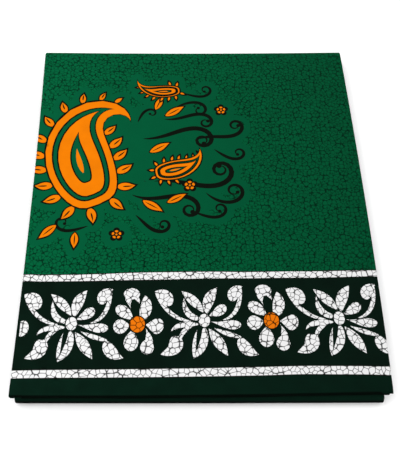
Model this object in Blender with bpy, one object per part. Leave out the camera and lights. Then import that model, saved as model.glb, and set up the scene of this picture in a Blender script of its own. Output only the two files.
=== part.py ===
# Batik sarong, folded flat and lying on its underside.
# One printed cotton cloth, seamed into a tube, is folded in thirds across its
# width into a packet of six layers, and the packet in thirds along its length.
# The hem third lies on top with its edge at the front, the back fold joins it
# to the bottom third, and the front fold turns up into the hidden waist third.
# Metres, +Z up, +Y from the hem edge to the back fold, origin under the middle.

import math

import bmesh
import bpy

# Folded size, seen from above
FOLD_WIDTH = 0.3338         # left fold to right edge, a third of the flat tube
FOLD_LENGTH = 0.4025        # hem edge to back fold, a third of the tube's height
SIDE_BOW = 0.0022           # both side edges lie bowed to the right by this
END_BOW = 0.0015            # hem edge and back fold lie bowed to the front by this
FRONT_STEP = 0.0030         # front fold stands this far in front of the hem edge
FRONT_SKEW = 0.0019         # it lies turned: further forward by this at the right
FRONT_BOW = 0.0012          # and bowed forward by this at both ends
FRONT_REACH = 0.00456       # its foremost point stands this far in front of the hem edge
RIGHT_SPREAD = 0.0012       # right edge stands out by this at the front
LEFT_INSET = 0.0040         # lower thirds lie inside the top one at the front left
RIGHT_INSET = 0.0069        # and at the front right

# Layers
WALL = 0.001                # outer layer of cloth
CLEARANCE = 0.0003          # between the outer layer and the layers that it wraps
PACKET = 0.0057             # six layers pressed together
PACKET_GAP = 0.0005         # air between the three thirds of the stack
SIDE_TUCK = 0.009           # outer layer's return below the packet at the left fold
TUCK_RAMP = 0.0006          # below that return the hidden layers thin in this ramp
LIP_TUCK = 0.010            # right edge's narrow fold, two layers, lies on the rest
LIP_RAMP = 0.0006           # that fold's inner layer ends in this ramp
LIP_OVERHANG = 0.0025       # the fold stands this far out over the layers below it
WAIST_GAP = 0.003           # hidden waist edge ends short of the back fold

# Relief of the top third
CROWN = 0.0010              # the middle lies this much higher than the edges
EDGE_FADE = 0.045           # the crown rises over this much cloth from an edge

# Hem edge: how far each level of the hidden layers stands in front of the top
# layer's edge, from the upper level down
HEM_STEPS = (0.0002, 0.0011, 0.0003, 0.0014, 0.0005, 0.0017, 0.0010)

# Soft troughs and ridges of the top third. Place is from the middle of the
# packet, turn is from +X, and a ridge has a positive rise.
# x, y, turn in degrees, half length, half width, rise
TROUGHS = (
    (-0.070, 0.120, 12, 0.110, 0.020, -0.00040),
    (0.080, 0.060, -20, 0.120, 0.024, -0.00045),
    (-0.090, -0.050, 35, 0.090, 0.022, 0.00035),
    (0.105, -0.090, 80, 0.080, 0.018, -0.00035),
    (0.010, -0.140, 4, 0.120, 0.018, 0.00030),
    (0.100, 0.110, 65, 0.070, 0.024, 0.00035),
)

# Cells of the mesh along each stretch of the folded packet, and across it
TOP_CELLS = 12
BACK_CELLS = 8
UNDER_CELLS = 8
FRONT_CELLS = 6
INSIDE_CELLS = 4
ACROSS_CELLS = 12
ROUND_CELLS = 6

# The stack, worked out from the sizes above
HALF = PACKET / 2
PITCH = PACKET + PACKET_GAP
BOTTOM_Z = HALF
MIDDLE_Z = BOTTOM_Z + PITCH
TOP_Z = MIDDLE_Z + PITCH
BACK_ROLL = (TOP_Z - BOTTOM_Z) / 2
FRONT_ROLL = (MIDDLE_Z - BOTTOM_Z) / 2
HEM_Y = -(FOLD_LENGTH - FRONT_REACH) / 2
BACK_Y = HEM_Y + FOLD_LENGTH - BACK_ROLL - HALF
FRONT_Y = HEM_Y - FRONT_STEP + FRONT_ROLL + HALF
WAIST_Y = BACK_Y - WAIST_GAP


def smooth(share):
    """Eases a share from 0 to 1."""
    share = min(max(share, 0.0), 1.0)
    return share * share * (3 - 2 * share)


def top_lift(x, y):
    """Height of the top third's relief over the flat packet, none at its edges."""
    from_side = FOLD_WIDTH / 2 - abs(x)
    from_end = min(y - HEM_Y, BACK_Y - y)
    fade = 1.0
    for distance in (from_side, from_end):
        share = min(max(distance / EDGE_FADE, 0.0), 1.0)
        fade *= math.sin(share * math.pi / 2)
    lift = CROWN
    for trough_x, trough_y, turn, half_length, half_width, rise in TROUGHS:
        angle = math.radians(turn)
        along = (x - trough_x) * math.cos(angle) + (y - trough_y) * math.sin(angle)
        across = (y - trough_y) * math.cos(angle) - (x - trough_x) * math.sin(angle)
        lift += rise * math.exp(-(along / half_length) ** 2 - (across / half_width) ** 2)
    return lift * fade


def steps(start, end, cells):
    """Evenly spaced values from start to end."""
    return [start + (end - start) * index / cells for index in range(cells + 1)]


def run_stations(start_y, end_y, height, up, cells):
    """Stations of a straight stretch: middle line's y and z, and the outward normal."""
    return [(y, height, 0.0, up) for y in steps(start_y, end_y, cells)]


def roll_stations(centre_y, centre_z, radius, start_turn, cells):
    """Stations of a half turn that starts at start_turn degrees and runs clockwise."""
    stations = []
    for turn in steps(start_turn, start_turn - 180, cells):
        normal_y = math.cos(math.radians(turn))
        normal_z = math.sin(math.radians(turn))
        stations.append((centre_y + radius * normal_y, centre_z + radius * normal_z, normal_y, normal_z))
    return stations


def top_stations():
    """Hem edge to the back fold, and round it."""
    straight = run_stations(HEM_Y, BACK_Y, TOP_Z, 1.0, TOP_CELLS)
    roll = roll_stations(BACK_Y, (TOP_Z + BOTTOM_Z) / 2, BACK_ROLL, 90, BACK_CELLS)
    return straight + roll[1:]


def under_stations(start_y):
    """Underside to the front fold, round it, and on to the hidden waist edge."""
    straight = run_stations(start_y, FRONT_Y, BOTTOM_Z, -1.0, UNDER_CELLS)
    roll = roll_stations(FRONT_Y, (BOTTOM_Z + MIDDLE_Z) / 2, FRONT_ROLL, -90, FRONT_CELLS)
    inside = run_stations(FRONT_Y, WAIST_Y, MIDDLE_Z, 1.0, INSIDE_CELLS)
    return straight + roll[1:] + inside[1:]


def side_edges(station):
    """Left and right edges of the packet at a station: the lower thirds lie inset."""
    y, height, normal_y, normal_z = station
    inset = 0.0
    if height < TOP_Z and y <= BACK_Y:
        inset = min((BACK_Y - y) / (BACK_Y - FRONT_Y), 1.0)
    left = -FOLD_WIDTH / 2 + LEFT_INSET * inset
    right = FOLD_WIDTH / 2 - RIGHT_INSET * inset
    return left, right


def place(station, x, n):
    """Point of the packet at x and n, the height over its middle line, with the bows."""
    y, height, normal_y, normal_z = station
    if height == TOP_Z and y <= BACK_Y:
        n += top_lift(x, y) * (n + HALF) / PACKET
    across = 2 * x / FOLD_WIDTH
    along = 2 * y / FOLD_LENGTH
    bowed_x = x + SIDE_BOW * (0.5 - along ** 2)
    bowed_x += RIGHT_SPREAD * (smooth(across) * smooth(0.5 - 0.5 * along) - 0.25)
    bowed_y = y + n * normal_y - END_BOW * (0.5 - across ** 2)
    if height < TOP_Z and y <= BACK_Y:
        towards_front = smooth((BACK_Y - y) / (BACK_Y - FRONT_Y))
        bowed_y -= (FRONT_SKEW * across + FRONT_BOW * across ** 2) * towards_front
    return bowed_x, bowed_y, height + n * normal_z


def shared_columns(left, right):
    """Places across the packet that the outer layer and the layers below it share."""
    first = left + HALF + SIDE_TUCK + CLEARANCE
    last = right - LIP_TUCK - CLEARANCE - LIP_RAMP
    return [first] + steps(first + TUCK_RAMP, last, ACROSS_CELLS)


def outer_layer_row(station):
    """Outer layer across the packet: outer and inner points, right edge to left tuck."""
    left, right = side_edges(station)
    pairs = []
    for turn in (25, 57, 90):
        x = right - WALL + WALL * math.cos(math.radians(turn))
        bulge = WALL * math.sin(math.radians(turn))
        pairs.append(((x, HALF - WALL + bulge), (x, HALF - WALL - bulge)))
    lip = right - LIP_TUCK
    pairs.append(((lip, HALF), (lip, HALF - 2 * WALL)))
    for x in [lip - LIP_RAMP] + shared_columns(left, right)[::-1]:
        pairs.append(((x, HALF), (x, HALF - WALL)))
    for turn in steps(90, 270, ROUND_CELLS):
        cosine = math.cos(math.radians(turn))
        sine = math.sin(math.radians(turn))
        outer = (left + HALF + HALF * cosine, HALF * sine)
        inner = (left + HALF + (HALF - WALL) * cosine, (HALF - WALL) * sine)
        pairs.append((outer, inner))
    tuck = left + HALF + SIDE_TUCK
    pairs.append(((tuck, -HALF), (tuck, WALL - HALF)))
    return [[place(station, x, n) for x, n in pair] for pair in pairs]


def hidden_layers_row(station, hem_steps):
    """Hidden layers across the packet: columns of points from their top down."""
    left, right = side_edges(station)
    wrap = WALL + CLEARANCE
    top = HALF - wrap
    below_lip = top - WALL
    tuck, *middle = shared_columns(left, right)
    columns = [("left", left + wrap, top, -top), ("plain", tuck, top, -top)]
    columns += [("plain", x, top, -HALF) for x in middle]
    columns.append(("plain", right - LIP_TUCK - CLEARANCE, below_lip, -HALF))
    columns.append(("right", right - LIP_OVERHANG, below_lip, -HALF))
    row = []
    for kind, x, high, low in columns:
        middle = (high + low) / 2
        radius = (high - low) / 2
        column = []
        for level in range(ROUND_CELLS + 1):
            turn = math.pi * level / ROUND_CELLS
            shift = radius * (1 - math.sin(turn))
            level_x = x
            if kind == "left":
                level_x = x + shift
            if kind == "right":
                level_x = x - shift
            point_x, point_y, point_z = place(station, level_x, middle + radius * math.cos(turn))
            column.append((point_x, point_y - hem_steps[level], point_z))
        row.append(column)
    return row


def solid_from_lattice(name, lattice):
    """Closed mesh from the outside of a lattice of points, rows of columns of levels."""
    row_count = len(lattice)
    column_count = len(lattice[0])
    level_count = len(lattice[0][0])
    mesh_maker = bmesh.new()
    corners = {}

    def corner(row, column, level):
        key = (row, column, level)
        if key not in corners:
            corners[key] = mesh_maker.verts.new(lattice[row][column][level])
        return corners[key]

    def patch(point_at, first_count, second_count):
        for first in range(first_count - 1):
            for second in range(second_count - 1):
                square = ((first, second), (first + 1, second), (first + 1, second + 1), (first, second + 1))
                mesh_maker.faces.new([point_at(*pair) for pair in square])

    for level in (0, level_count - 1):
        patch(lambda row, column: corner(row, column, level), row_count, column_count)
    for column in (0, column_count - 1):
        patch(lambda row, level: corner(row, column, level), row_count, level_count)
    for row in (0, row_count - 1):
        patch(lambda column, level: corner(row, column, level), column_count, level_count)
    bmesh.ops.recalc_face_normals(mesh_maker, faces=mesh_maker.faces)
    mesh = bpy.data.meshes.new(name)
    mesh_maker.to_mesh(mesh)
    mesh_maker.free()
    mesh.shade_smooth()
    mesh.set_sharp_from_angle(angle=math.radians(50))
    solid = bpy.data.objects.new(name, mesh)
    bpy.context.scene.collection.objects.link(solid)
    return solid


def cotton(name, colour, roughness):
    """Printed cotton: matt, with the dye's colour."""
    material = bpy.data.materials.new(name)
    material.use_nodes = True
    shader = material.node_tree.nodes["Principled BSDF"]
    shader.inputs["Base Color"].default_value = (*colour, 1.0)
    shader.inputs["Roughness"].default_value = roughness
    shader.inputs["Metallic"].default_value = 0.0
    material.diffuse_color = (*colour, 1.0)
    return material


def top_panel():
    """Outer layer of the hem third, with the back fold that it turns down into."""
    rows = [outer_layer_row(station) for station in top_stations()]
    solid = solid_from_lattice("top_panel", rows)
    solid.data.materials.append(cotton("green printed cotton", (0.004, 0.056, 0.024), 0.85))


def under_panel():
    """Outer layer of the underside, the front fold and the hidden waist third."""
    rows = [outer_layer_row(station) for station in under_stations(BACK_Y - CLEARANCE)]
    solid = solid_from_lattice("under_panel", rows)
    solid.data.materials.append(cotton("dark green printed cotton", (0.004, 0.030, 0.016), 0.85))


def folded_layers():
    """Hidden layers of all three thirds, one rounded solid folded along with them."""
    stations = top_stations() + under_stations(BACK_Y)[1:]
    flush = [0.0] * (ROUND_CELLS + 1)
    rows = [hidden_layers_row(stations[0], HEM_STEPS)]
    rows += [hidden_layers_row(station, flush) for station in stations[1:]]
    solid = solid_from_lattice("folded_layers", rows)
    solid.data.materials.append(cotton("plain green cotton", (0.004, 0.024, 0.013), 0.9))


def main():
    for old in list(bpy.data.objects):
        bpy.data.objects.remove(old, do_unlink=True)
    top_panel()
    under_panel()
    folded_layers()


main()
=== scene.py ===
import math

import bmesh
import bpy
from mathutils import Euler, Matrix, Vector
from mathutils.geometry import delaunay_2d_cdt


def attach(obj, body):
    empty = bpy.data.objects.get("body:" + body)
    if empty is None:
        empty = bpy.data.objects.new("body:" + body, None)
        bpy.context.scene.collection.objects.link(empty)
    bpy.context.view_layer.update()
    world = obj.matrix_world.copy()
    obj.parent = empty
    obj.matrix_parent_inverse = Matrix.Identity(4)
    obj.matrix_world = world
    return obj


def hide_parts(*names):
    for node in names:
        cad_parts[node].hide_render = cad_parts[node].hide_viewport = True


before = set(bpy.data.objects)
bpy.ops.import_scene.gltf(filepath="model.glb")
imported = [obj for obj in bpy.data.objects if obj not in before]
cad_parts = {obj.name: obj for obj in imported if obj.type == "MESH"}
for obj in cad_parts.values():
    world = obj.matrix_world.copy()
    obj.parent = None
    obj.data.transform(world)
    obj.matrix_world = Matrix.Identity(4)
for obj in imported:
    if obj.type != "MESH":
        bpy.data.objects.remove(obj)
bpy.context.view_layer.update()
millimetre = 0.001
print("frame loaded")

# The folded packet. Its sizes are the solids', but for the pressed left fold, the thinner cloth,
# and the front fold, which stands 0.2 further forward and lies 0.3 more askew
packet = {
    "width": 333.8,        # left fold to right edge
    "length": 402.5,       # hem edge to back fold
    "depth": 5.7,          # six layers pressed together
    "layers": 6,
    "cloth": 0.45,         # thickness of the cotton
    "gap": 0.5,            # air between the three thirds of the stack
    "sideBow": 2.2,        # side edges lie bowed to the right
    "endBow": 1.5,         # hem edge and back fold lie bowed to the front
    "frontStep": 3.2,      # front fold stands in front of the hem edge
    "frontReach": 4.56,    # and its foremost point, at the right, this far
    "leftInset": 4.0,      # lower thirds lie inside the top one at the front left
    "rightInset": 6.9,     # and at the front right
    "waistGap": 3.0,       # hidden waist edge ends short of the back fold
    "sideTuck": 9.0,       # outer layer's return below the packet
    "lipTuck": 10.0,       # right edge's narrow fold
    "lipOverhang": 2.5,    # it stands out this far over the layers below
    "foldCorner": 1.2,     # left fold is pressed: tight corners and an upright side
    "clearance": 0.3,      # where two stretches of the cloth meet
    "edgeThinning": 0.14,  # share that the packet thins at the hem
    "thinningReach": 7.0,
    "rightSpread": 1.2,    # right edge stands out this much at the front
    "frontSkew": 2.2,      # lower thirds lie turned, further forward at the right
    "frontBow": 1.2,       # and bowed forward at both ends
}

half = packet["depth"] / 2
pitch = packet["depth"] + packet["gap"]
bottomZ = half
middleZ = half + pitch
topZ = half + 2 * pitch
topFloor = topZ - half - packet["gap"] / 2    # between the top third and the two below
backRoll = (topZ - bottomZ) / 2
frontRoll = (middleZ - bottomZ) / 2
hemY = -(packet["length"] - packet["frontReach"]) / 2
backY = hemY + packet["length"] - backRoll - half
frontY = hemY - packet["frontStep"] + frontRoll + half
waistY = backY - packet["waistGap"]
rightX = packet["width"] / 2
leftX = -rightX
layerPitch = (packet["depth"] - packet["cloth"]) / (packet["layers"] - 1)
layerHeights = [half - packet["cloth"] / 2 - layerPitch * layer for layer in range(packet["layers"])]
foldCorner = packet["foldCorner"]
foldQuarter = math.pi / 2 * foldCorner
foldUpright = layerHeights[0] - layerHeights[-1] - 2 * foldCorner
foldRun = 2 * foldQuarter + foldUpright
foldX = leftX + packet["cloth"] / 2 + foldCorner
lipRadius = layerPitch / 2
lipX = rightX - packet["cloth"] / 2 - lipRadius

# Relief of the top third: soft troughs and ridges, as the solids have, then finer creases
relief = {
    "crown": 1.0,
    "edgeFade": 45.0,
    "creaseRange": 3.0,    # creases come this many times as near the edge
    # x, y, turn in degrees, half length, half width, rise
    "soft": [
        (-70, 120, 12, 110, 20, -0.40),
        (80, 60, -20, 120, 24, -0.45),
        (-90, -50, 35, 90, 22, 0.35),
        (105, -90, 80, 80, 18, -0.35),
        (10, -140, 4, 120, 18, 0.30),
        (100, 110, 65, 70, 24, 0.35),
    ],
    "creases": [
        (112, -58, 84, 26, 3.2, -0.30),
        (-12, 30, 2, 96, 4.0, -0.12),
        (56, 142, -8, 60, 4.5, -0.16),
        (-128, -96, 96, 44, 4.0, 0.14),
        (20, -104, 178, 90, 4.5, 0.10),
        (140, 30, 95, 70, 4.5, -0.14),
        (-100, 172, 3, 52, 5.0, 0.16),
    ],
}

# How far each layer's hem stands in front of the top one's, and the size and length of its waves
hemEdge = {
    "steps": [0.0, 0.6, 0.1, 0.9, 0.3, 1.1],
    "reach": 30.0,
    "leftLag": 1.1,        # the whole hem edge lies this much further back at the left
    "rightLead": 1.25,     # its right corner lies this much further forward
    "leadReach": 18.0,
    "waves": [(0.22, 97.0), (0.16, 41.0)],
    "waveShift": 0.37,     # each layer's waves lie this share of a wave beside the last one's
}


def smooth(share):
    share = min(max(share, 0.0), 1.0)
    return share * share * (3 - 2 * share)


def swell(x, y, rows):
    rise = 0.0
    for middleX, middleY, turn, halfLength, halfWidth, height in rows:
        angle = math.radians(turn)
        along = (x - middleX) * math.cos(angle) + (y - middleY) * math.sin(angle)
        across = (y - middleY) * math.cos(angle) - (x - middleX) * math.sin(angle)
        rise += height * math.exp(-(along / halfLength) ** 2 - (across / halfWidth) ** 2)
    return rise


def lift(x, y):
    fade = 1.0
    for distance in (rightX - abs(x), y - hemY, backY - y):
        share = min(max(distance / relief["edgeFade"], 0.0), 1.0)
        fade *= math.sin(share * math.pi / 2)
    raised = (relief["crown"] + swell(x, y, relief["soft"])) * fade
    return raised + swell(x, y, relief["creases"]) * smooth(relief["creaseRange"] * fade)


# Lays a point of the straight folded packet as the real one lies
def settle(x, y, z):
    if y < backY and z < topFloor:
        inset = min((backY - y) / (backY - frontY), 1.0)
        left = leftX + packet["leftInset"] * inset
        right = rightX - packet["rightInset"] * inset
        x = left + (x - leftX) * (right - left) / packet["width"]
    elif y < backY:
        height = (z - topFloor) / packet["depth"]
        layer = min(max(round((topZ + layerHeights[0] - z) / layerPitch), 0), packet["layers"] - 1)
        fromHem = y - hemY
        step = hemEdge["steps"][layer]
        for size, length in hemEdge["waves"]:
            step += size * math.sin(2 * math.pi * (x / length + hemEdge["waveShift"] * layer)) * (layer > 0)
        z += lift(x, y) * height
        z -= packet["edgeThinning"] * (z - topFloor) * (1 - smooth(fromHem / packet["thinningReach"]))
        step -= hemEdge["leftLag"] * (0.5 - x / packet["width"])
        step += hemEdge["rightLead"] * smooth(1 - (rightX - x) / hemEdge["leadReach"])
        y -= step * (1 - smooth(fromHem / hemEdge["reach"]))
    across = 2 * x / packet["width"]
    along = 2 * y / packet["length"]
    if z < topFloor:
        towardsFront = smooth((backY - y) / (backY - frontY))
        y -= (packet["frontSkew"] * across + packet["frontBow"] * across ** 2) * towardsFront
    x += spreadAt(x, along) - packet["rightSpread"] / 4    # less a quarter, so that it stays centred
    x += packet["sideBow"] * (0.5 - along ** 2)
    y -= packet["endBow"] * (0.5 - across ** 2)
    return x, y, z


# How far the right edge's spread moves a place of the top face
def spreadAt(x, along):
    return packet["rightSpread"] * smooth(x / rightX) * smooth(0.5 - 0.5 * along)


# From a place on the settled top face, with y from the hem, to the same place on the flat cloth
def onCloth(x, y):
    along = 2 * (hemY + y) / packet["length"]
    flatX = x - packet["sideBow"] * (0.5 - along ** 2) - spreadAt(x, along)
    across = 2 * flatX / packet["width"]
    return flatX, y + packet["endBow"] * (0.5 - across ** 2)


# Where the outer layer lies, from the distance across the cloth: x, and height over the middle
def outerAcross(distance):
    if distance > lipX:
        turn = (distance - lipX) / lipRadius
        if turn < math.pi:
            return lipX + lipRadius * math.sin(turn), layerHeights[0] - lipRadius * (1 - math.cos(turn))
        return lipX - (distance - lipX - math.pi * lipRadius), layerHeights[1]
    if distance < foldX:
        travelled = foldX - distance
        if travelled > foldRun:
            return foldX + travelled - foldRun, layerHeights[-1]
        fromFlat = min(travelled, foldRun - travelled)
        turn = min(fromFlat, foldQuarter) / foldCorner
        height = layerHeights[0] - foldCorner * (1 - math.cos(turn)) - max(fromFlat - foldQuarter, 0.0)
        return foldX - foldCorner * math.sin(turn), height if travelled < foldRun / 2 else -height
    return distance, layerHeights[0]


outerStart = foldX - foldRun - packet["sideTuck"]
outerEnd = lipX + math.pi * lipRadius + packet["lipTuck"] - packet["cloth"] / 2 - lipRadius
topStraight = backY - hemY
topLength = topStraight + math.pi * (backRoll + layerHeights[0])


def spaced(start, end, step):
    count = max(round(abs(end - start) / step), 1)
    return [start + (end - start) * index / count for index in range(count + 1)]


def foldedPlace(across, along):
    x, height = outerAcross(across)
    if along <= topStraight:
        return settle(x, hemY + along, topZ + height)
    turn = math.pi * (0.5 - (along - topStraight) / (topLength - topStraight))
    radius = backRoll + height
    return settle(x, backY + radius * math.cos(turn), (topZ + bottomZ) / 2 + radius * math.sin(turn))


def linkedObject(name, data):
    made = bpy.data.objects.new(name, data)
    bpy.context.scene.collection.objects.link(made)
    return made


# Materials

def hexColour(text):
    channels = [int(text[index:index + 2], 16) / 255 for index in (0, 2, 4)]
    linear = [c / 12.92 if c <= 0.04045 else ((c + 0.055) / 1.055) ** 2.4 for c in channels]
    return (*linear, 1.0)


# Adds a node and gives one of its outputs. The settings are its properties, then its inputs,
# each as a value or as the output that feeds it.
def addNode(tree, kind, settings=(), output=0):
    node = tree.nodes.new(kind)
    for name, value in dict(settings).items():
        if isinstance(value, bpy.types.NodeSocket):
            tree.links.new(value, node.inputs[name])
        elif isinstance(name, str) and hasattr(node, name):
            setattr(node, name, value)
        else:
            node.inputs[name].default_value = value
    return node.outputs[output] if node.outputs else None


# Cotton calico, waxed and dyed: matt, even, with a fine plain weave. Where the wax cracked, the
# dye ran in and left a net of dark lines. The eye reads flat dye, the net and soft edges.
cotton = {
    "threadPitch": 0.8,       # real threads lie 0.28 apart, too fine to show, so drawn coarser
    "threadWander": 0.12,
    "weaveDepth": 0.05,
    "weaveStrength": 0.35,
    "roughness": 0.9,
    "specularLevel": 0.02,    # soaked with dye, the cloth gives almost no gloss
    "ior": 1.5,
    "sheen": 0.004,
    # patches: scale, and the noise at which one begins and is full
    "dyePatches": (60.0, 0.35, 0.7),       # uneven dye, a few centimetres wide
    "strongPatches": (90.0, 0.36, 0.6),    # stronger cracks, about a centimetre wide
    "veinPatches": (45.0, 0.48, 0.6),      # long veins show only here
    "crackWander": 0.6,       # cracks stray this far from straight
    "wanderScale": 320.0,
    "faintLines": 0.75,       # cracks outside the strong patches, as a share of their strength
    "meeting": (0.54, 0.74),  # dots where cracks meet, by the distance from a cell's middle
    "spotSoftness": 0.8,      # soft edge of those dots, as a share of their size
    "vein": {"cell": 30.0, "width": 1.0, "blur": 0.9, "turn": -38.0, "stretch": 2.2},
    "holesApart": 3.3,        # pinholes in the wax
    "holeSize": 1.9,
    "holeSoftness": 0.5,
    "holeStrength": (0.1, 0.75),
    "footTop": 10.0,          # painted shade darkens the front fold below this height, where it turns under
    "footFull": 7.6,
}


# Mask that is 0 at one value and 1 at another, which may be the smaller
def ramp(tree, value, clear, full, curve="LINEAR"):
    ends = {"From Min": clear, "From Max": full}
    return addNode(tree, "ShaderNodeMapRange", {"interpolation_type": curve, "Value": value, **ends})


# Cells of a size over the flat cloth
def cells(tree, place, size, settings=()):
    return addNode(tree, "ShaderNodeTexVoronoi", {"voronoi_dimensions": "2D", "Vector": place,
                                                  "Scale": 1 / (size * millimetre), **dict(settings)})


# Net of cracks round cells of a size, as masks: 1 on the cracks, and 1 where cracks meet
def crackNet(tree, place, cell, width, blur, turn=0.0, stretch=1.0):
    rotation = (0.0, 0.0, math.radians(turn))
    turned = addNode(tree, "ShaderNodeMapping",
                     {"Vector": place, "Rotation": rotation, "Scale": (1.0, stretch, 1.0)})
    line = ((width + blur) / 2 / cell, max(width - blur, 0.0) / 2 / cell)
    masks = []
    for feature, ends in (("DISTANCE_TO_EDGE", line), ("F1", cotton["meeting"])):
        masks.append(ramp(tree, cells(tree, turned, cell, {"feature": feature}), *ends, "SMOOTHSTEP"))
    return masks


# Multiplies masks and plain shares
def product(tree, made, *others):
    for other in others:
        made = addNode(tree, "ShaderNodeMath", {"operation": "MULTIPLY", 0: made, 1: other})
    return made


def unevenMask(tree, place, scale, clear, full):
    cloud = addNode(tree, "ShaderNodeTexNoise", {"Vector": place, "Scale": scale, "Detail": 3.0})
    return ramp(tree, cloud, clear, full)


# Mixes a colour into the cloth's, by a mask
def dyedOver(tree, base, colour, mask):
    return addNode(tree, "ShaderNodeMix", {"data_type": "RGBA", 0: mask, 6: base, 7: hexColour(colour)}, 2)


# Round dots as a mask, each of its own strength, where the dye ran in through a pinhole
def pinholes(tree, place):
    dots = cells(tree, place, cotton["holesApart"])
    radius = cotton["holeSize"] / 2 / cotton["holesApart"]
    soft = cotton["holeSoftness"] * radius
    rounds = ramp(tree, dots, radius + soft, radius - soft, "SMOOTHSTEP")
    own = addNode(tree, "ShaderNodeSeparateXYZ", {0: dots.node.outputs["Color"]})
    return product(tree, rounds, ramp(tree, own, *cotton["holeStrength"]))


# Cracks in the wax over a dye: cell, width and blur are their sizes, the rest their strengths
def crackedDye(tree, base, cloth, crack, cell, width, blur, lines, spots, spotSize, holes=0.0, veins=0.0):
    wander = addNode(tree, "ShaderNodeTexNoise",
                     {"Vector": cloth, "Scale": cotton["wanderScale"], "Detail": 2.0}, "Color")
    stray = addNode(tree, "ShaderNodeVectorMath",
                    {"operation": "SCALE", 0: wander, "Scale": cotton["crackWander"] * millimetre})
    bent = addNode(tree, "ShaderNodeVectorMath", {0: cloth, 1: stray})
    line = crackNet(tree, bent, cell, width, blur)[0]
    strong = unevenMask(tree, cloth, *cotton["strongPatches"])
    wideLine, meeting = crackNet(tree, bent, cell, spotSize, cotton["spotSoftness"] * spotSize)
    base = dyedOver(tree, base, crack, product(tree, line, cotton["faintLines"] * lines))
    base = dyedOver(tree, base, crack, product(tree, line, strong, lines))
    base = dyedOver(tree, base, crack, product(tree, wideLine, meeting, spots))
    if holes:
        base = dyedOver(tree, base, crack, product(tree, pinholes(tree, bent), holes))
    if veins:
        vein = crackNet(tree, cloth, **cotton["vein"])[0]
        shown = unevenMask(tree, cloth, *cotton["veinPatches"])
        base = dyedOver(tree, base, crack, product(tree, vein, shown, veins))
    return base


# Painted shade: darkens the cloth towards black below a height, where it turns under at the foot of the front
# fold
def paintedFootShade(tree, base, strength):
    place = addNode(tree, "ShaderNodeTexCoord", output="Object")
    height = addNode(tree, "ShaderNodeSeparateXYZ", {0: place}, "Z")
    shade = ramp(tree, height, cotton["footTop"] * millimetre, cotton["footFull"] * millimetre)
    return dyedOver(tree, base, "000000", product(tree, shade, strength))


# ground and crack are colours, fade is how much painted shade darkens the cloth at the right edge, and patch
# how much of the crack colour shows in the patches of uneven dye
def dyedCotton(name, ground, crack, fade, patch, foot=0.0, **cracks):
    material = bpy.data.materials.new(name)
    material.use_nodes = True
    tree = material.node_tree
    shader = tree.nodes["Principled BSDF"]
    cloth = addNode(tree, "ShaderNodeUVMap", {"uv_map": "UVMap"})
    base = addNode(tree, "ShaderNodeRGB")
    base.default_value = hexColour(ground)
    across = addNode(tree, "ShaderNodeSeparateXYZ", {0: cloth})
    # painted shade: the cloth is mixed towards black more and more towards the right edge, in place of light
    # that falls off
    paintedShadeTowardsRight = ramp(tree, across, leftX * millimetre, rightX * millimetre)
    patches = unevenMask(tree, cloth, *cotton["dyePatches"])
    base = dyedOver(tree, base, "000000", product(tree, paintedShadeTowardsRight, fade))
    base = dyedOver(tree, base, crack, product(tree, patches, patch))
    if cracks:
        base = crackedDye(tree, base, cloth, crack, **cracks)
    if foot:
        base = paintedFootShade(tree, base, foot)
    weave = cells(tree, cloth, cotton["threadPitch"], {"Randomness": cotton["threadWander"]})
    bump = addNode(tree, "ShaderNodeBump", {"Strength": cotton["weaveStrength"], "Height": weave,
                                            "Distance": cotton["weaveDepth"] * millimetre})
    tree.links.new(base, shader.inputs["Base Color"])
    tree.links.new(bump, shader.inputs["Normal"])
    shader.inputs["Roughness"].default_value = cotton["roughness"]
    shader.inputs["IOR"].default_value = cotton["ior"]
    shader.inputs["Specular IOR Level"].default_value = cotton["specularLevel"]
    shader.inputs["Sheen Weight"].default_value = cotton["sheen"]
    return material


dyes = {
    "ground": dyedCotton("crackled green batik cotton", "015733", "00140a", 0.4, 0.12, cell=4.4, width=0.58,
                         blur=0.34, lines=0.5, spots=0.75, spotSize=1.2, veins=0.5, holes=0.62),
    "halo": dyedCotton("plain green batik cotton", "015131", "023e26", 0.4, 0.2),
    "band": dyedCotton("green black batik cotton", "06170f", "040d08", 0.2, 0.5),
    # the strip's dye also carries painted shade at the foot of the front fold
    "strip": dyedCotton("dark green batik cotton", "061e14", "04110b", 0.36, 0.5, foot=0.9),
    "white": dyedCotton("crackled white batik cotton", "dadada", "0c100e", 0.1, 0.03, cell=4.9, width=0.5,
                        blur=0.2, lines=0.95, spots=0.95, spotSize=1.2),
    "orange": dyedCotton("orange batik cotton", "da7202", "b25a02", 0.05, 0.25),
    "heart": dyedCotton("crackled orange batik cotton", "d46a08", "140c04", 0.05, 0.1, cell=5.4, width=0.66,
                        blur=0.35, lines=0.8, spots=0.95, spotSize=1.6),
    "black": dyedCotton("black batik cotton", "0a1009", "050805", 0.1, 0.5),
    # painted shade: the hidden layers are dyed near black to stand in for the shade between the stacked
    # layers at the hem edge
    "inner": dyedCotton("dark green batik cotton darkened as painted shade", "030c07", "010603", 0.2, 0.5),
}
dyeOrder = list(dyes)
print("materials made")


# Shapes of the print, drawn on the top face: x from its middle, y from the hem edge

def disc(middle, radiusX, radiusY, count=28):
    turns = [2 * math.pi * index / count for index in range(count)]
    return [(middle[0] + radiusX * math.cos(turn), middle[1] + radiusY * math.sin(turn)) for turn in turns]


def easedShares(count):
    return [0.5 - 0.5 * math.cos(math.pi * index / count) for index in range(count + 1)]


def bentSpine(start, bend, end, count=12):
    spine = []
    for share in easedShares(count):
        weights = ((1 - share) ** 2, 2 * (1 - share) * share, share ** 2)
        spine.append(tuple(sum(weight * place[axis] for weight, place in zip(weights, (start, bend, end)))
                           for axis in (0, 1)))
    return spine


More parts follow.
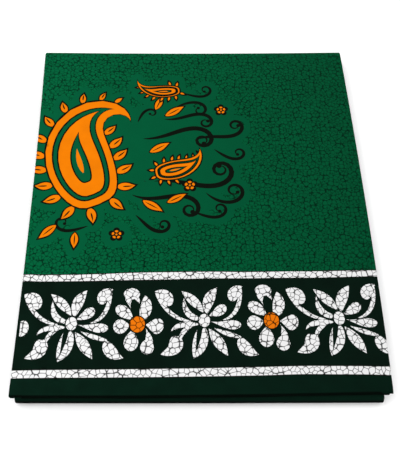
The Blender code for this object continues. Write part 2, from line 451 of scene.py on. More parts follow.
# A line that curls up: its bend, in radians a millimetre, changes from first to last
def curledSpine(start, heading, length, firstBend, lastBend, count):
    x, y = start
    angle = math.radians(heading)
    spine = [(x, y)]
    shares = easedShares(count)
    for before, after in zip(shares, shares[1:]):
        step = length * (after - before)
        angle += step * (firstBend + (lastBend - firstBend) * ((before + after) / 2) ** 2)
        x += step * math.cos(angle)
        y += step * math.sin(angle)
        spine.append((x, y))
    return spine


def shareAlong(spine):
    lengths = [0.0]
    for first, second in zip(spine, spine[1:]):
        lengths.append(lengths[-1] + math.dist(first, second))
    return [length / lengths[-1] for length in lengths]


# The stretch of a spine between two shares of its length
def partOf(spine, first, last, count=20):
    shares = shareAlong(spine)
    part = []
    for wanted in [first + (last - first) * share for share in easedShares(count)]:
        index = max(i for i, share in enumerate(shares[:-1]) if share <= wanted)
        within = (wanted - shares[index]) / (shares[index + 1] - shares[index])
        part.append(tuple(a + (b - a) * within for a, b in zip(spine[index], spine[index + 1])))
    return part


# Half width of a stroke: fullest is where it is widest, ends are its exponents at start and end,
# 0.5 for a round end and 1 or more for a point
def plump(share, fullest, ends):
    power = math.log(0.5) / math.log(fullest)
    return max(math.sin(math.pi * share ** power), 0.0) ** (ends[0] + (ends[1] - ends[0]) * share)


def strokeOutline(spine, left, right, fullest, ends, margin=0.0):
    leftSide = []
    rightSide = []
    last = len(spine) - 1
    for index, share in enumerate(shareAlong(spine)):
        before = spine[max(index - 1, 0)]
        after = spine[min(index + 1, last)]
        run = math.dist(before, after)
        sideX, sideY = (before[1] - after[1]) / run, (after[0] - before[0]) / run
        x, y = spine[index]
        width = plump(share, fullest, ends)
        leftSide.append((x + sideX * (left * width + margin), y + sideY * (left * width + margin)))
        rightSide.append((x - sideX * (right * width + margin), y - sideY * (right * width + margin)))
    if not margin:
        return leftSide[:-1] + [spine[-1]] + rightSide[1:-1][::-1]
    caps = []
    for tip, side in ((spine[-1], leftSide[-1]), (spine[0], rightSide[0])):
        begin = math.atan2(side[1] - tip[1], side[0] - tip[0])
        caps.append([(tip[0] + margin * math.cos(begin - turn), tip[1] + margin * math.sin(begin - turn))
                     for turn in spaced(0, math.pi, math.pi / 6)[1:-1]])
    return leftSide + caps[0] + rightSide[::-1] + caps[1]


# The border's two flowers. Each stroke: start, bend, end, left and right half widths, where it
# is fullest, and the exponents of its ends
pointed = (0.9, 0.9)
rounded = (0.9, 0.5)
starFlower = [
    ((-0.8, 8.0), (-6.7, 18.4), (-20.4, 29.8), 4.4, 4.4, 0.5, (0.85, 0.9)),
    ((2.7, 6.8), (1.4, 20.4), (12.6, 33.3), 5.1, 5.1, 0.5, (0.65, 1.0)),
    ((4.3, 4.2), (13.0, 7.4), (19.3, 15.2), 4.4, 5.2, 0.66, (0.5, 0.5)),
    ((6.0, -1.2), (20.0, -5.4), (33.4, -4.5), 4.4, 4.6, 0.73, (0.6, 0.5)),
    ((17.0, 0.3), (33.6, 4.0), (34.6, 33.6), 1.8, 2.0, 0.5, (0.6, 0.3)),
    ((36.6, 33.9), (28.0, 32.6), (26.7, 18.8), 4.6, 6.0, 0.6, (0.7, 0.5)),
    ((8.8, -7.8), (20.0, -13.9), (33.0, -16.8), 2.2, 2.2, 0.55, (0.8, 0.5)),
    ((32.2, -17.6), (34.6, -30.2), (47.9, -33.5), 5.2, 5.8, 0.42, (0.5, 1.0)),
    ((3.9, -8.3), (10.8, -18.4), (20.2, -34.1), 4.9, 4.9, 0.5, pointed),
    ((-0.4, -7.4), (2.5, -24.0), (-10.4, -36.2), 3.6, 3.7, 0.5, (0.35, 0.9)),
    ((-10.4, -35.6), (-11.4, -21.0), (-6.8, -9.2), 1.0, 2.2, 0.4, pointed),
    ((-5.6, -3.9), (-25.8, -2.4), (-30.4, -10.6), 2.4, 2.8, 0.5, (0.45, 0.9)),
    ((-11.0, -5.4), (-20.4, -8.6), (-22.2, -18.5), 2.0, 2.0, 0.5, (0.5, 0.5)),
    ((-24.2, -15.0), (-21.4, -26.4), (-39.7, -32.3), 6.3, 4.4, 0.45, pointed),
    ((-27.4, -15.0), (-27.0, -22.0), (-32.6, -30.2), 3.6, 3.8, 0.38, (0.5, 0.7)),
    ((-5.6, 1.8), (-19.0, 4.5), (-18.3, 22.6), 2.8, 3.0, 0.32, (0.35, 0.9)),
    ((-12.1, -0.7), (-33.0, 1.2), (-45.0, 29.6), 1.9, 1.9, 0.5, (0.5, 0.5)),
    ((-45.2, 29.9), (-32.8, 27.2), (-32.2, 14.8), 6.2, 6.2, 0.55, rounded),
]
starHeart = (5.1, 6.5)    # half width and half height
starHeartRing = 1.0       # dark ring round it
roundFlower = [
    ((-5.7, 14.8), (-8.6, 19.5), (-8.2, 30.0), 3.4, 2.8, 0.75, (1.0, 0.5)),
    ((-12.4, 28.6), (-6.5, 33.2), (1.2, 28.0), 5.8, 5.8, 0.5, (0.5, 0.5)),
    ((1.7, 20.8), (0.9, 25.5), (-3.0, 29.5), 2.4, 1.4, 0.6, (0.9, 0.5)),
    ((4.0, 5.2), (10.0, 16.0), (6.6, 28.8), 5.4, 5.4, 0.45, (0.45, 0.75)),
    ((7.0, -0.6), (14.0, -1.0), (23.7, -3.2), 7.8, 7.8, 0.66, (0.8, 0.5)),
    ((7.3, -3.4), (10.6, -9.0), (10.8, -22.0), 3.6, 3.0, 0.7, (0.9, 0.5)),
    ((8.0, -15.2), (9.4, -22.0), (9.0, -29.2), 6.1, 6.1, 0.52, (0.5, 0.5)),
    ((-4.4, -5.0), (-5.6, -15.0), (-5.6, -25.6), 6.6, 6.6, 0.62, (0.7, 0.5)),
    ((-7.2, -0.6), (-14.0, -2.0), (-21.8, -2.4), 7.1, 7.1, 0.58, (0.65, 0.5)),
    ((-4.3, 5.0), (-10.5, 11.0), (-19.4, 18.0), 5.6, 5.6, 0.62, (0.5, 0.5)),
]
roundHeart = (6.8, 7.9)
roundHeartRing = 1.2
# Where each flower stands: x, y, and stretch across
starPlaces = [(-117.6, 67.1, 1.0), (3.0, 68.8, 1.0), (126.9, 69.6, 1.04)]
roundPlaces = [(-179.8, 65.2, 1.0), (-57.9, 65.7, 1.0), (64.4, 68.0, 1.03)]

# White stripes above and below the flowers: x, upper edge, lower edge
upperStripe = [(-161, 117.7, 111.1), (-143, 116.6, 110.1), (-124, 116.6, 110.0), (-42, 118.5, 110.9),
               (8, 118.7, 111.7), (45, 117.9, 111.4), (85, 118.2, 111.6), (123, 118.2, 111.6),
               (161, 118.9, 112.6)]
lowerStripe = [(-151, 23.4, 16.1), (-41, 23.1, 15.6), (8, 23.2, 15.7), (43, 23.6, 15.9), (91, 24.2, 16.7),
               (130, 23.6, 16.0), (158, 23.0, 15.6)]
stripeLine = 0.9            # black line along both sides of a stripe
stripHem = -9.0             # the strip is drawn to beyond the hem edge
beltReach = 3.0             # belts are drawn to beyond the cloth's side edges
beltStep = 12.0
printStart = leftX + 3.2    # the flowers stop short of the left fold
leastShown = 1.0            # a stroke that shows less than this beside it is left out


def edgeHeight(stripe, column, x):
    for first, second in zip(stripe, stripe[1:]):
        if x <= second[0]:
            share = (x - first[0]) / (second[0] - first[0])
            return first[column] + (second[column] - first[column]) * smooth(share)
    return stripe[-1][column]


# The upper edge of a stripe, column 1, or its lower edge, column 2, and so much above it
def stripeEdge(stripe, column, above=0.0):
    return lambda x: edgeHeight(stripe, column, x) + above


faceColumns = spaced(outerStart - beltReach, outerEnd + beltReach, beltStep)


def belt(upper, lower):
    return [(x, upper(x)) for x in faceColumns] + [(x, lower(x)) for x in faceColumns[::-1]]


def borderShapes():
    shapes = [
        ("band", belt(stripeEdge(upperStripe, 2), stripeEdge(lowerStripe, 1))),
        ("strip", belt(stripeEdge(lowerStripe, 2), lambda x: stripHem)),
    ]
    for dye, line in (("black", stripeLine), ("white", 0.0)):
        for stripe in (upperStripe, lowerStripe):
            shapes.append((dye, belt(stripeEdge(stripe, 1, line), stripeEdge(stripe, 2, -line))))
    for places, strokes in ((starPlaces, starFlower), (roundPlaces, roundFlower)):
        for x, y, stretch in places:
            for start, bend, end, left, right, fullest, ends in strokes:
                outline = strokeOutline(bentSpine(start, bend, end), left, right, fullest, ends)
                outline = [(max(x + stretch * across, printStart), y + up) for across, up in outline]
                if max(across for across, up in outline) > printStart + leastShown:
                    shapes.append(("white", outline))
    for x, y, stretch in starPlaces:
        shapes.append(("band", disc((x, y), starHeart[0] + starHeartRing, starHeart[1] + starHeartRing)))
        shapes.append(("white", disc((x, y), *starHeart)))
    for x, y, stretch in roundPlaces:
        shapes.append(("black", disc((x, y), roundHeart[0] + roundHeartRing, roundHeart[1] + roundHeartRing)))
        shapes.append(("heart", disc((x, y), *roundHeart)))
    return shapes


# The ornament over the border: curled teardrops edged with drops, leaves, blossoms and tendrils
ornament = {
    "line": 1.5,        # black line round the orange
    "lineAtEnds": 2.2,  # an inner shape is shorter than its outline by this many lines
    "halo": 7.0,        # green round it all that the wax kept free of cracks
    # x, y, half width, half height
    "haloPatches": [(-44, 262, 52, 62), (6, 264, 42, 52), (-20, 204, 44, 24)],
}

teardrop = {
    "fullest": 0.32,
    "ends": (0.5, 1.3),    # round at its start and pointed at its tip
    # shapes nested in it: from and to shares of its length, share of its width, dye
    "nested": [(0.05, 0.84, 0.78, "halo"), (0.075, 0.76, 0.64, "orange"), (0.17, 0.55, 0.26, "halo")],
    "nestedFullest": 0.34,
    "core": (0.24, 0.42, 0.08, 0.4),    # from, to, share of its width, where it is fullest
    # start x and y, heading, length, first and last bend, half width, share of the inner edge with drops
    "rows": [
        (-98, 194, 117, 178, -0.001, -0.058, 35.0, 0.6),
        (-44, 232, 10, 66, 0.000, 0.086, 12.5, 0.3),
        (-16, 342, 186, 58, 0.000, -0.095, 9.0, 0.2),
    ],
}

# Drops along a teardrop's edge
edgeDrop = {
    "fullOn": 37.0,     # at full size on a teardrop of this half width
    "least": 0.42,      # and never smaller than this share
    "atTip": 0.5,       # it is this much of that size at the teardrop's tip
    "every": 16.5,
    "length": 24.0,
    "half": 6.2,
    "lean": 24.0,       # towards the teardrop's tip, in degrees
    "leanReach": 0.25,  # full from this share of the teardrop's length
    "curl": 0.05,
    "root": 2.0,        # it starts this far inside the edge
    "outerShare": 0.9,  # share of the outer edge with drops
    "fullest": 0.42,
    "ends": (0.6, 1.1),
    "vein": (0.3, 0.78),    # dark vein, by shares of the drop's length
    "veinHalf": 0.8,
    "veinFullest": 0.35,
    "veinFrom": 4.0,    # only a drop of more than this half width has one
}

leaf = {
    "bend": (0.014, -0.03),
    "fullest": 0.45,
    "ends": (0.8, 1.1),
    "vein": (0.12, 0.7),
    "veinHalf": 0.6,
    # start x and y, heading, length, half width
    "rows": [
        (-56, 200, -40, 28, 5.5),
        (-32, 196, 22, 26, 5.0),
        (-50, 258, 24, 28, 5.5),
        (-34, 306, 26, 28, 5.5),
        (-44, 314, 62, 24, 5.0),
        (-138, 172, 216, 26, 5.5),
        (-120, 164, 264, 22, 5.0),
    ],
}

# Parts of a blossom, as shares of its petals' length
blossom = {
    "start": 0.08,
    "half": 0.4,
    "fullest": 0.6,
    "ends": (0.7, 0.5),
    "turns": range(18, 360, 72),
    "eye": 0.24,
    "pupil": 0.13,
    # x, y, petal length
    "rows": [(-8, 217, 8.5), (-80, 160, 8.0), (27, 314, 8.0)],
}

tendril = {
    "fullest": 0.42,
    "ends": (0.8, 0.55),
    "knob": 0.95,    # its curled end is a dot, this share of its half width
    # start x and y, heading, length, first and last bend, half width
    "rows": [
        (-56, 276, -4, 128, 0.020, -0.250, 2.8),
        (-44, 222, 10, 146, -0.016, 0.226, 2.9),
        (-66, 206, -30, 116, 0.028, -0.262, 2.6),
        (-2, 274, 30, 90, -0.030, 0.300, 2.3),
        (-34, 302, -10, 84, 0.030, -0.310, 2.2),
        (8, 208, -50, 82, 0.024, 0.250, 2.1),
        (18, 262, -40, 56, 0.000, 0.350, 1.9),
        (-62, 182, -44, 62, -0.010, 0.340, 2.0),
        (-6, 186, -24, 60, 0.000, 0.330, 1.8),
        (-108, 170, -160, 54, 0.000, -0.320, 1.8),
        (-22, 318, 30, 60, -0.010, -0.300, 1.9),
        (-14, 338, -20, 54, 0.000, 0.350, 1.7),
        (-62, 298, 70, 40, 0.000, -0.420, 1.6),
    ],
}


# A shape of the print: a stroke of the same half width to both sides
def stroke(dye, spine, half, fullest=0.5, ends=pointed, margin=0.0):
    return (dye, strokeOutline(spine, half, half, fullest, ends, margin))


# Black shape with a coloured one inside it, a line's width smaller
def outlined(spine, half, fullest, ends, inside="orange"):
    line = ornament["line"]
    length = sum(math.dist(first, second) for first, second in zip(spine, spine[1:]))
    inner = partOf(spine, line / length, 1 - ornament["lineAtEnds"] * line / length)
    return [stroke("black", spine, half, fullest, ends), stroke(inside, inner, half - line, fullest, ends)]


# Drops round a teardrop's edge, as spines with their half widths
def edgeDrops(spine, half, innerShare):
    drops = []
    edge = strokeOutline(spine, half, half, teardrop["fullest"], teardrop["ends"])
    shares = shareAlong(spine)
    last = len(spine) - 1
    fullSize = max(half / edgeDrop["fullOn"], edgeDrop["least"])
    travelled = edgeDrop["every"] * fullSize / 2
    for index in range(1, len(edge) - 1):
        side = 1 if index < last else -1
        share = shares[index if side > 0 else 2 * last - index]
        lastShare = edgeDrop["outerShare"] if side > 0 else innerShare
        travelled += math.dist(edge[index - 1], edge[index])
        if travelled < edgeDrop["every"] * fullSize or share > lastShare:
            continue
        travelled = 0.0
        before, after = edge[index - 1], edge[index + 1]
        outward = math.atan2(after[1] - before[1], after[0] - before[0]) + math.pi / 2
        outward -= side * math.radians(edgeDrop["lean"]) * smooth(share / edgeDrop["leanReach"])
        shrunk = 1.0
        if share >= teardrop["fullest"]:
            width = plump(share, teardrop["fullest"], teardrop["ends"])
            shrunk = edgeDrop["atTip"] + (1 - edgeDrop["atTip"]) * width
        length = edgeDrop["length"] * fullSize * shrunk
        root = (edge[index][0] - edgeDrop["root"] * math.cos(outward),
                edge[index][1] - edgeDrop["root"] * math.sin(outward))
        drop = curledSpine(root, math.degrees(outward), length, 0.0, -edgeDrop["curl"] * side, 12)
        drops.append((drop, edgeDrop["half"] * fullSize * shrunk))
    return drops


def haloRound(spine, half, fullest=0.5, ends=pointed):
    return stroke("halo", spine, half, fullest, ends, ornament["halo"])


def teardropShapes(row):
    x, y, heading, length, firstBend, lastBend, half, innerShare = row
    spine = curledSpine((x, y), heading, length, firstBend, lastBend, 60)
    halo = [haloRound(spine, half, teardrop["fullest"], teardrop["ends"])]
    drawn = []
    for drop, dropHalf in edgeDrops(spine, half, innerShare):
        halo.append(haloRound(drop, dropHalf, edgeDrop["fullest"]))
        drawn += outlined(drop, dropHalf, edgeDrop["fullest"], edgeDrop["ends"])
        if dropHalf > edgeDrop["veinFrom"]:
            vein = partOf(drop, *edgeDrop["vein"], 8)
            drawn.append(stroke("black", vein, edgeDrop["veinHalf"], edgeDrop["veinFullest"]))
    drawn += outlined(spine, half, teardrop["fullest"], teardrop["ends"])
    for first, last, width, inside in teardrop["nested"]:
        nested = partOf(spine, first, last, 30)
        drawn += outlined(nested, width * half, teardrop["nestedFullest"], teardrop["ends"], inside)
    first, last, width, fullest = teardrop["core"]
    drawn.append(stroke("orange", partOf(spine, first, last, 8), width * half, fullest))
    return halo, drawn


def blossomShapes(x, y, size):
    shapes = []
    for turn in blossom["turns"]:
        angle = math.radians(turn)
        petal = [(x + share * size * math.cos(angle), y + share * size * math.sin(angle))
                 for share in (blossom["start"], 0.5, 1.0)]
        shapes += outlined(bentSpine(*petal, 8), blossom["half"] * size, blossom["fullest"], blossom["ends"])
    eye = blossom["eye"] * size
    pupil = blossom["pupil"] * size
    return shapes + [("black", disc((x, y), eye, eye, 14)), ("orange", disc((x, y), pupil, pupil, 12))]


def ornamentShapes():
    halos = [("halo", disc((x, y), halfWidth, halfHeight))
             for x, y, halfWidth, halfHeight in ornament["haloPatches"]]
    shapes = []
    for x, y, heading, length, firstBend, lastBend, half in tendril["rows"]:
        spine = curledSpine((x, y), heading, length, firstBend, lastBend, 44)
        halos.append(haloRound(spine, half))
        shapes.append(stroke("black", spine, half, tendril["fullest"], tendril["ends"]))
        knob = tendril["knob"] * half
        shapes.append(("black", disc(spine[-1], knob, knob, 12)))
    for x, y, heading, length, half in leaf["rows"]:
        spine = curledSpine((x, y), heading, length, *leaf["bend"], 14)
        vein = partOf(spine, *leaf["vein"], 8)
        halos.append(haloRound(spine, half, leaf["fullest"]))
        shapes += outlined(spine, half, leaf["fullest"], leaf["ends"])
        shapes.append(stroke("black", vein, leaf["veinHalf"]))
    for row in teardrop["rows"]:
        halo, drawn = teardropShapes(row)
        halos += halo
        shapes += drawn
    for x, y, size in blossom["rows"]:
        halos.append(("halo", disc((x, y), size + ornament["halo"], size + ornament["halo"])))
        shapes += blossomShapes(x, y, size)
    return halos + shapes


# Printed top: the flat cloth is cut along the outlines of the print, then folded
topCloth = {
    "grid": 3.0,          # mesh size on the flat face
    "foldGrid": 0.4,      # and round the left fold
    "lipGrid": 0.28,      # and round the narrow right fold
    "rollGrid": 1.7,      # and round the back fold
    "hemGrid": 1.0,       # and between rows near the hem edge
    "hemRows": 6.0,       # which are those nearer than this
    "weld": 0.0005,       # points nearer than this are one
}


# Places across the outer layer, a step apart where it is flat and closer round its folds
def outerLines(step):
    stops = [outerStart, foldX - foldRun, foldX, lipX, lipX + math.pi * lipRadius, outerEnd]
    steps = [step, topCloth["foldGrid"], step, topCloth["lipGrid"], step]
    lines = [outerStart]
    for start, end, apart in zip(stops, stops[1:], steps):
        lines += spaced(start, end, apart)[1:]
    return lines


def meshLines():
    columns = outerLines(topCloth["grid"])
    rows = spaced(0.0, topCloth["hemRows"], topCloth["hemGrid"])
    rows += spaced(topCloth["hemRows"], topStraight, topCloth["grid"])[1:]
    rows += spaced(topStraight, topLength, topCloth["rollGrid"])[1:]
    return columns, rows


def counterClockwise(outline):
    sides = zip(outline, outline[1:] + outline[:1])
    turned = sum(x * nextY - nextX * y for (x, y), (nextX, nextY) in sides)
    return outline if turned > 0 else outline[::-1]


# Splits the long sides of an outline where the cloth turns round a fold
def closeAtFolds(outline):
    split = []
    for (x, y), (nextX, nextY) in zip(outline, outline[1:] + outline[:1]):
        turning = min(x, nextX) < foldX or max(x, nextX) > lipX
        count = math.ceil(math.dist((x, y), (nextX, nextY)) / topCloth["foldGrid"]) if turning else 1
        for index in range(count):
            split.append((x + (nextX - x) * index / count, y + (nextY - y) * index / count))
    return split


def printedTop():
    columns, rows = meshLines()
    left, right, hem, end = columns[0], columns[-1], rows[0], rows[-1]
    outlines = [("ground", [(left, hem), (right, hem), (right, end), (left, end)])]
    for dye, outline in ornamentShapes() + borderShapes():
        outlines.append((dye, counterClockwise([onCloth(x, y) for x, y in closeAtFolds(outline)])))
    points = []
    faces = []
    for dye, outline in outlines:
        faces.append(list(range(len(points), len(points) + len(outline))))
        points += outline
    points += [(column, row) for column in columns for row in rows]
    cut = delaunay_2d_cdt([Vector(point) for point in points], [], faces, 0, topCloth["weld"], True)
    flatPoints, triangles, insides = cut[0], cut[2], cut[5]
    kept = [(triangle, max(inside)) for triangle, inside in zip(triangles, insides) if 0 in inside]
    used = sorted({corner for triangle, inside in kept for corner in triangle})
    renumbered = {corner: index for index, corner in enumerate(used)}
    mesh = bpy.data.meshes.new("printedTop")
    vertices = [Vector(foldedPlace(*flatPoints[corner])) * millimetre for corner in used]
    mesh.from_pydata(vertices, [], [[renumbered[corner] for corner in triangle] for triangle, inside in kept])
    for dye in dyeOrder:
        mesh.materials.append(dyes[dye])
    width, length = right - left, end - hem
    clothMap = mesh.uv_layers.new(name="UVMap")
    bakeMap = mesh.uv_layers.new(name="OFBake")
    for polygon, (triangle, inside) in zip(mesh.polygons, kept):
        polygon.material_index = dyeOrder.index(outlines[inside][0])
        for loop, corner in zip(polygon.loop_indices, triangle):
            across, along = flatPoints[corner]
            clothMap.data[loop].uv = (across * millimetre, along * millimetre)
            bakeMap.data[loop].uv = ((across - left) / width, (along - hem) / length)
    return clothPiece("printedTop", mesh), (width * millimetre, length * millimetre)


def clothPiece(name, mesh):
    mesh.shade_smooth()
    piece = linkedObject(name, mesh)
    wall = piece.modifiers.new("thickness", "SOLIDIFY")
    wall.thickness = packet["cloth"] * millimetre
    wall.offset = 0.0
    return piece


# Sheets that follow the folded route: a profile across the packet is carried along it
sweptCloth = {
    "straightStep": 9.0,      # route points on the straight runs
    "rollSteps": 14,          # and round each fold
    "acrossStep": 11.0,       # profile points on the straight runs
    "ripple": 0.09,           # unevenness of the pressed cloth
    "rippleSize": 26.0,
    "seed": 7.0,
    "borderFrom": 330.0,      # the dark border starts this far along the under cloth
}

hiddenCloth = {
    "wideSteps": 8,       # profile points round its wide and narrow folds
    "narrowSteps": 5,
    "innerRight": 1.8,    # at the right the narrow fold lies this far inside the wide one
    "leftFold": 4.3,      # at the left its folds lie this far inside the outer one
    "innerLeft": 6.6,
    "seed": 11.0,
}


def straightRoute(start, end, height):
    return [(y, height) for y in spaced(start, end, sweptCloth["straightStep"])]


def rollRoute(middleY, middleZ, radius, firstTurn):
    steps = sweptCloth["rollSteps"]
    turns = [math.radians(firstTurn - 180 * step / steps) for step in range(steps + 1)]
    return [(middleY + radius * math.cos(turn), middleZ + radius * math.sin(turn)) for turn in turns]


topRoute = straightRoute(hemY, backY, topZ) + rollRoute(backY, (topZ + bottomZ) / 2, backRoll, 90)[1:]
underRoute = straightRoute(backY - packet["clearance"], frontY, bottomZ)
underRoute += rollRoute(frontY, (bottomZ + middleZ) / 2, frontRoll, -90)[1:]
underRoute += straightRoute(frontY, waistY, middleZ)[1:]


def halfTurn(middleX, middleHeight, radius, side, upwards, count):
    first = -1 if upwards else 1
    turns = [math.pi * step / count for step in range(1, count)]
    return [(middleX + side * radius * math.sin(turn), middleHeight + first * radius * math.cos(turn))
            for turn in turns]


def outerProfile():
    return [outerAcross(line) for line in reversed(outerLines(sweptCloth["acrossStep"]))]


def hiddenProfile():
    wide = 1.5 * layerPitch      # radius of a fold round two layers
    narrow = 0.5 * layerPitch    # and of one that has none inside it
    tuckX = foldX + packet["sideTuck"] + packet["clearance"]
    rightFold = rightX - packet["lipOverhang"] - packet["cloth"] / 2 - wide
    innerRight = rightFold - hiddenCloth["innerRight"]
    leftFold = leftX + hiddenCloth["leftFold"]
    innerLeft = leftX + hiddenCloth["innerLeft"]
    wideSteps = hiddenCloth["wideSteps"]
    narrowSteps = hiddenCloth["narrowSteps"]
    # start and end across, layer, then the fold at its end: side, radius, upwards, steps
    runs = [
        (tuckX, rightFold, 5, 1, wide, True, wideSteps),
        (rightFold, innerLeft, 2, -1, narrow, False, narrowSteps),
        (innerLeft, innerRight, 3, 1, narrow, False, narrowSteps),
        (innerRight, leftFold, 4, -1, wide, True, wideSteps),
        (leftFold, rightX - packet["lipTuck"] - packet["clearance"], 1, 0, 0, False, 0),
    ]
    profile = []
    for start, end, layer, side, radius, upwards, steps in runs:
        profile += [(x, layerHeights[layer]) for x in spaced(start, end, sweptCloth["acrossStep"])]
        if steps:
            middle = layerHeights[layer] + (radius if upwards else -radius)
            profile += halfTurn(end, middle, radius, side, upwards, steps)
    return profile


def lineObject(name, points):
    line = bpy.data.curves.new(name, "CURVE")
    line.dimensions = "3D"
    line.twist_mode = "MINIMUM"
    spline = line.splines.new("POLY")
    spline.points.add(len(points) - 1)
    for target, place in zip(spline.points, points):
        target.co = (*[value * millimetre for value in place], 1.0)
    return linkedObject(name, line)


def sweepTree():
    tree = bpy.data.node_groups.new("folded sheet", "GeometryNodeTree")
    tree.interface.new_socket("Geometry", in_out="INPUT", socket_type="NodeSocketGeometry")
    for name, kind in (("Profile", "NodeSocketObject"), ("Ripple", "NodeSocketFloat"),
                       ("Ripple Size", "NodeSocketFloat"), ("Seed", "NodeSocketFloat"),
                       ("Cloth", "NodeSocketMaterial"), ("Border From", "NodeSocketFloat"),
                       ("Border Cloth", "NodeSocketMaterial")):
        tree.interface.new_socket(name, in_out="INPUT", socket_type=kind)
    tree.interface.new_socket("Geometry", in_out="OUTPUT", socket_type="NodeSocketGeometry")
    inputs = tree.nodes.new("NodeGroupInput").outputs
    length = addNode(tree, "GeometryNodeSplineParameter", output="Length")
    profile = addNode(tree, "GeometryNodeObjectInfo", {"Object": inputs["Profile"]}, "Geometry")
    lines = []
    distances = []
    for geometry in (inputs["Geometry"], profile):
        capture = tree.nodes.new("GeometryNodeCaptureAttribute")
        capture.capture_items.new("FLOAT", "Length")
        tree.links.new(geometry, capture.inputs[0])
        tree.links.new(length, capture.inputs[1])
        lines.append(capture.outputs[0])
        distances.append(capture.outputs[1])
    sheet = addNode(tree, "GeometryNodeCurveToMesh", {"Curve": lines[0], "Profile Curve": lines[1]})
    place = addNode(tree, "ShaderNodeCombineXYZ", {"X": distances[1], "Y": distances[0]})
    mapped = addNode(tree, "GeometryNodeStoreNamedAttribute",
                     {"data_type": "FLOAT2", "domain": "CORNER", "Name": "UVMap",
                      "Geometry": sheet, "Value": place})
    frequency = addNode(tree, "ShaderNodeMath", {"operation": "DIVIDE", 0: 1.0, 1: inputs["Ripple Size"]})
    cloud = addNode(tree, "ShaderNodeTexNoise",
                    {"noise_dimensions": "4D", "Detail": 1.0, "W": inputs["Seed"], "Scale": frequency})
    centred = addNode(tree, "ShaderNodeMath", {"operation": "SUBTRACT", 0: cloud, 1: 0.5})
    height = product(tree, centred, inputs["Ripple"])
    normal = addNode(tree, "GeometryNodeInputNormal")
    shift = addNode(tree, "ShaderNodeVectorMath", {"operation": "SCALE", 0: normal, "Scale": height})
    rippled = addNode(tree, "GeometryNodeSetPosition", {"Geometry": mapped, "Offset": shift})
    whole = addNode(tree, "GeometryNodeRealizeInstances", {"Geometry": rippled})
    dressed = addNode(tree, "GeometryNodeSetMaterial", {"Geometry": whole, "Material": inputs["Cloth"]})
    inBorder = addNode(tree, "FunctionNodeCompare",
                       {"operation": "GREATER_THAN", "A": distances[0], "B": inputs["Border From"]})
    bordered = addNode(tree, "GeometryNodeSetMaterial",
                       {"Geometry": dressed, "Selection": inBorder, "Material": inputs["Border Cloth"]})
    addNode(tree, "NodeGroupOutput", {"Geometry": bordered})
    return tree


def sweptSheet(name, tree, route, profile, cloth, borderCloth, borderFrom, seed):
    towardsBack = 1 if route[1][0] > route[0][0] else -1    # turns the profile the same way out
    routeLine = lineObject(name + "Route", [(0.0, y, z) for y, z in route])
    profileLine = lineObject(name + "Profile",
                             [(x * towardsBack, -height * towardsBack, 0.0) for x, height in profile])
    sweep = routeLine.modifiers.new("sweep", "NODES")
    sweep.node_group = tree
    given = {
        "Profile": profileLine,
        "Ripple": sweptCloth["ripple"] * millimetre,
        "Ripple Size": sweptCloth["rippleSize"] * millimetre,
        "Seed": seed,
        "Cloth": cloth,
        "Border From": borderFrom * millimetre,
        "Border Cloth": borderCloth,
    }
    for item in tree.interface.items_tree:
        if item.in_out == "INPUT" and item.name in given:
            sweep[item.identifier] = given[item.name]
    bpy.context.view_layer.update()
    evaluated = routeLine.evaluated_get(bpy.context.evaluated_depsgraph_get())
    mesh = bpy.data.meshes.new_from_object(evaluated)
    mesh.name = name
    for line in (routeLine, profileLine):
        bpy.data.objects.remove(line, do_unlink=True)
    for vertex in mesh.vertices:
        vertex.co = Vector(settle(*(vertex.co / millimetre))) * millimetre
    shell = bmesh.new()
    shell.from_mesh(mesh)
    bmesh.ops.recalc_face_normals(shell, faces=shell.faces)
    shell.to_mesh(mesh)
    shell.free()
    return clothPiece(name, mesh)


def routeLength(route):
    return sum(math.dist(first, second) for first, second in zip(route, route[1:]))


topPiece, topFlat = printedTop()
print("printed top made:", len(topPiece.data.polygons), "triangles on one side")

tree = sweepTree()
underPiece = sweptSheet("underCloth", tree, underRoute, outerProfile(), dyes["ground"], dyes["strip"],
                        sweptCloth["borderFrom"], sweptCloth["seed"])
hiddenRoute = topRoute + underRoute[1:]
# the hidden layers wear the near-black dye that is painted shade
hiddenPiece = sweptSheet("hiddenLayers", tree, hiddenRoute, hiddenProfile(), dyes["inner"], dyes["inner"],
                         0.0, hiddenCloth["seed"])
underFlat = (topFlat[0], routeLength(underRoute) * millimetre)
hiddenFlat = (routeLength(hiddenProfile()) * millimetre, routeLength(hiddenRoute) * millimetre)
print("under cloth and hidden layers made")

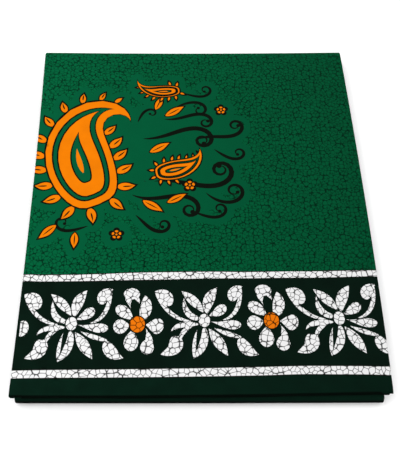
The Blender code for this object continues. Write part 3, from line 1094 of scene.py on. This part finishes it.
for piece, node, slot, flat, restsOn in (
    (topPiece, "top_panel", "printed_top", topFlat, ["hiddenLayers"]),
    (underPiece, "under_panel", "printed_under", underFlat, ["floor"]),
    (hiddenPiece, "folded_layers", "inner_layers", hiddenFlat, ["underCloth"]),
):
    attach(piece, "root")
    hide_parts(node)
print("pieces ride on the frame")

# Floor, light and camera
studio = {
    "floorSize": 6.0,
    "floorColour": "fcfcfc",
    "skyStrength": 1.22,
    "keyPlace": (-1.1, 0.2, 1.8),
    "keySize": 1.6,
    "keyPower": 11.0,
    "cameraPlace": (-0.02176, -0.40936, 0.65858),    # in metres, like the other places here
    "cameraTurn": (0.53192, -0.02246, -0.02195),     # in radians
    "lens": 59.738,
}


def makeFloor():
    mesh = bpy.data.meshes.new("floor")
    reach = studio["floorSize"] / 2
    corners = [(-reach, -reach, 0), (reach, -reach, 0), (reach, reach, 0), (-reach, reach, 0)]
    mesh.from_pydata(corners, [], [(0, 1, 2, 3)])
    paper = bpy.data.materials.new("matt white paper")
    paper.use_nodes = True
    shader = paper.node_tree.nodes["Principled BSDF"]
    shader.inputs["Base Color"].default_value = hexColour(studio["floorColour"])
    shader.inputs["Roughness"].default_value = 1.0
    shader.inputs["Specular IOR Level"].default_value = 0.0
    mesh.materials.append(paper)
    floor = linkedObject("floor", mesh)


def makeLight():
    world = bpy.data.worlds.new("studio")
    world.use_nodes = True
    sky = world.node_tree.nodes["Background"]
    sky.inputs["Color"].default_value = (1.0, 1.0, 1.0, 1.0)
    sky.inputs["Strength"].default_value = studio["skyStrength"]
    bpy.context.scene.world = world
    light = bpy.data.lights.new("softbox", "AREA")
    light.size = studio["keySize"]
    light.energy = studio["keyPower"]
    softbox = linkedObject("softbox", light)
    softbox.location = studio["keyPlace"]
    softbox.rotation_euler = (-Vector(studio["keyPlace"])).to_track_quat("-Z", "Y").to_euler()


def makeCamera():
    lens = bpy.data.cameras.new("camera")
    lens.lens = studio["lens"]
    lens.sensor_width = 36.0
    camera = linkedObject("camera", lens)
    camera.location = studio["cameraPlace"]
    camera.rotation_euler = Euler(studio["cameraTurn"], "XYZ")
    bpy.context.scene.camera = camera


makeFloor()
makeLight()
makeCamera()
bpy.context.scene.view_settings.view_transform = "Standard"
print("floor, light and camera made")

bpy.context.view_layer.update()
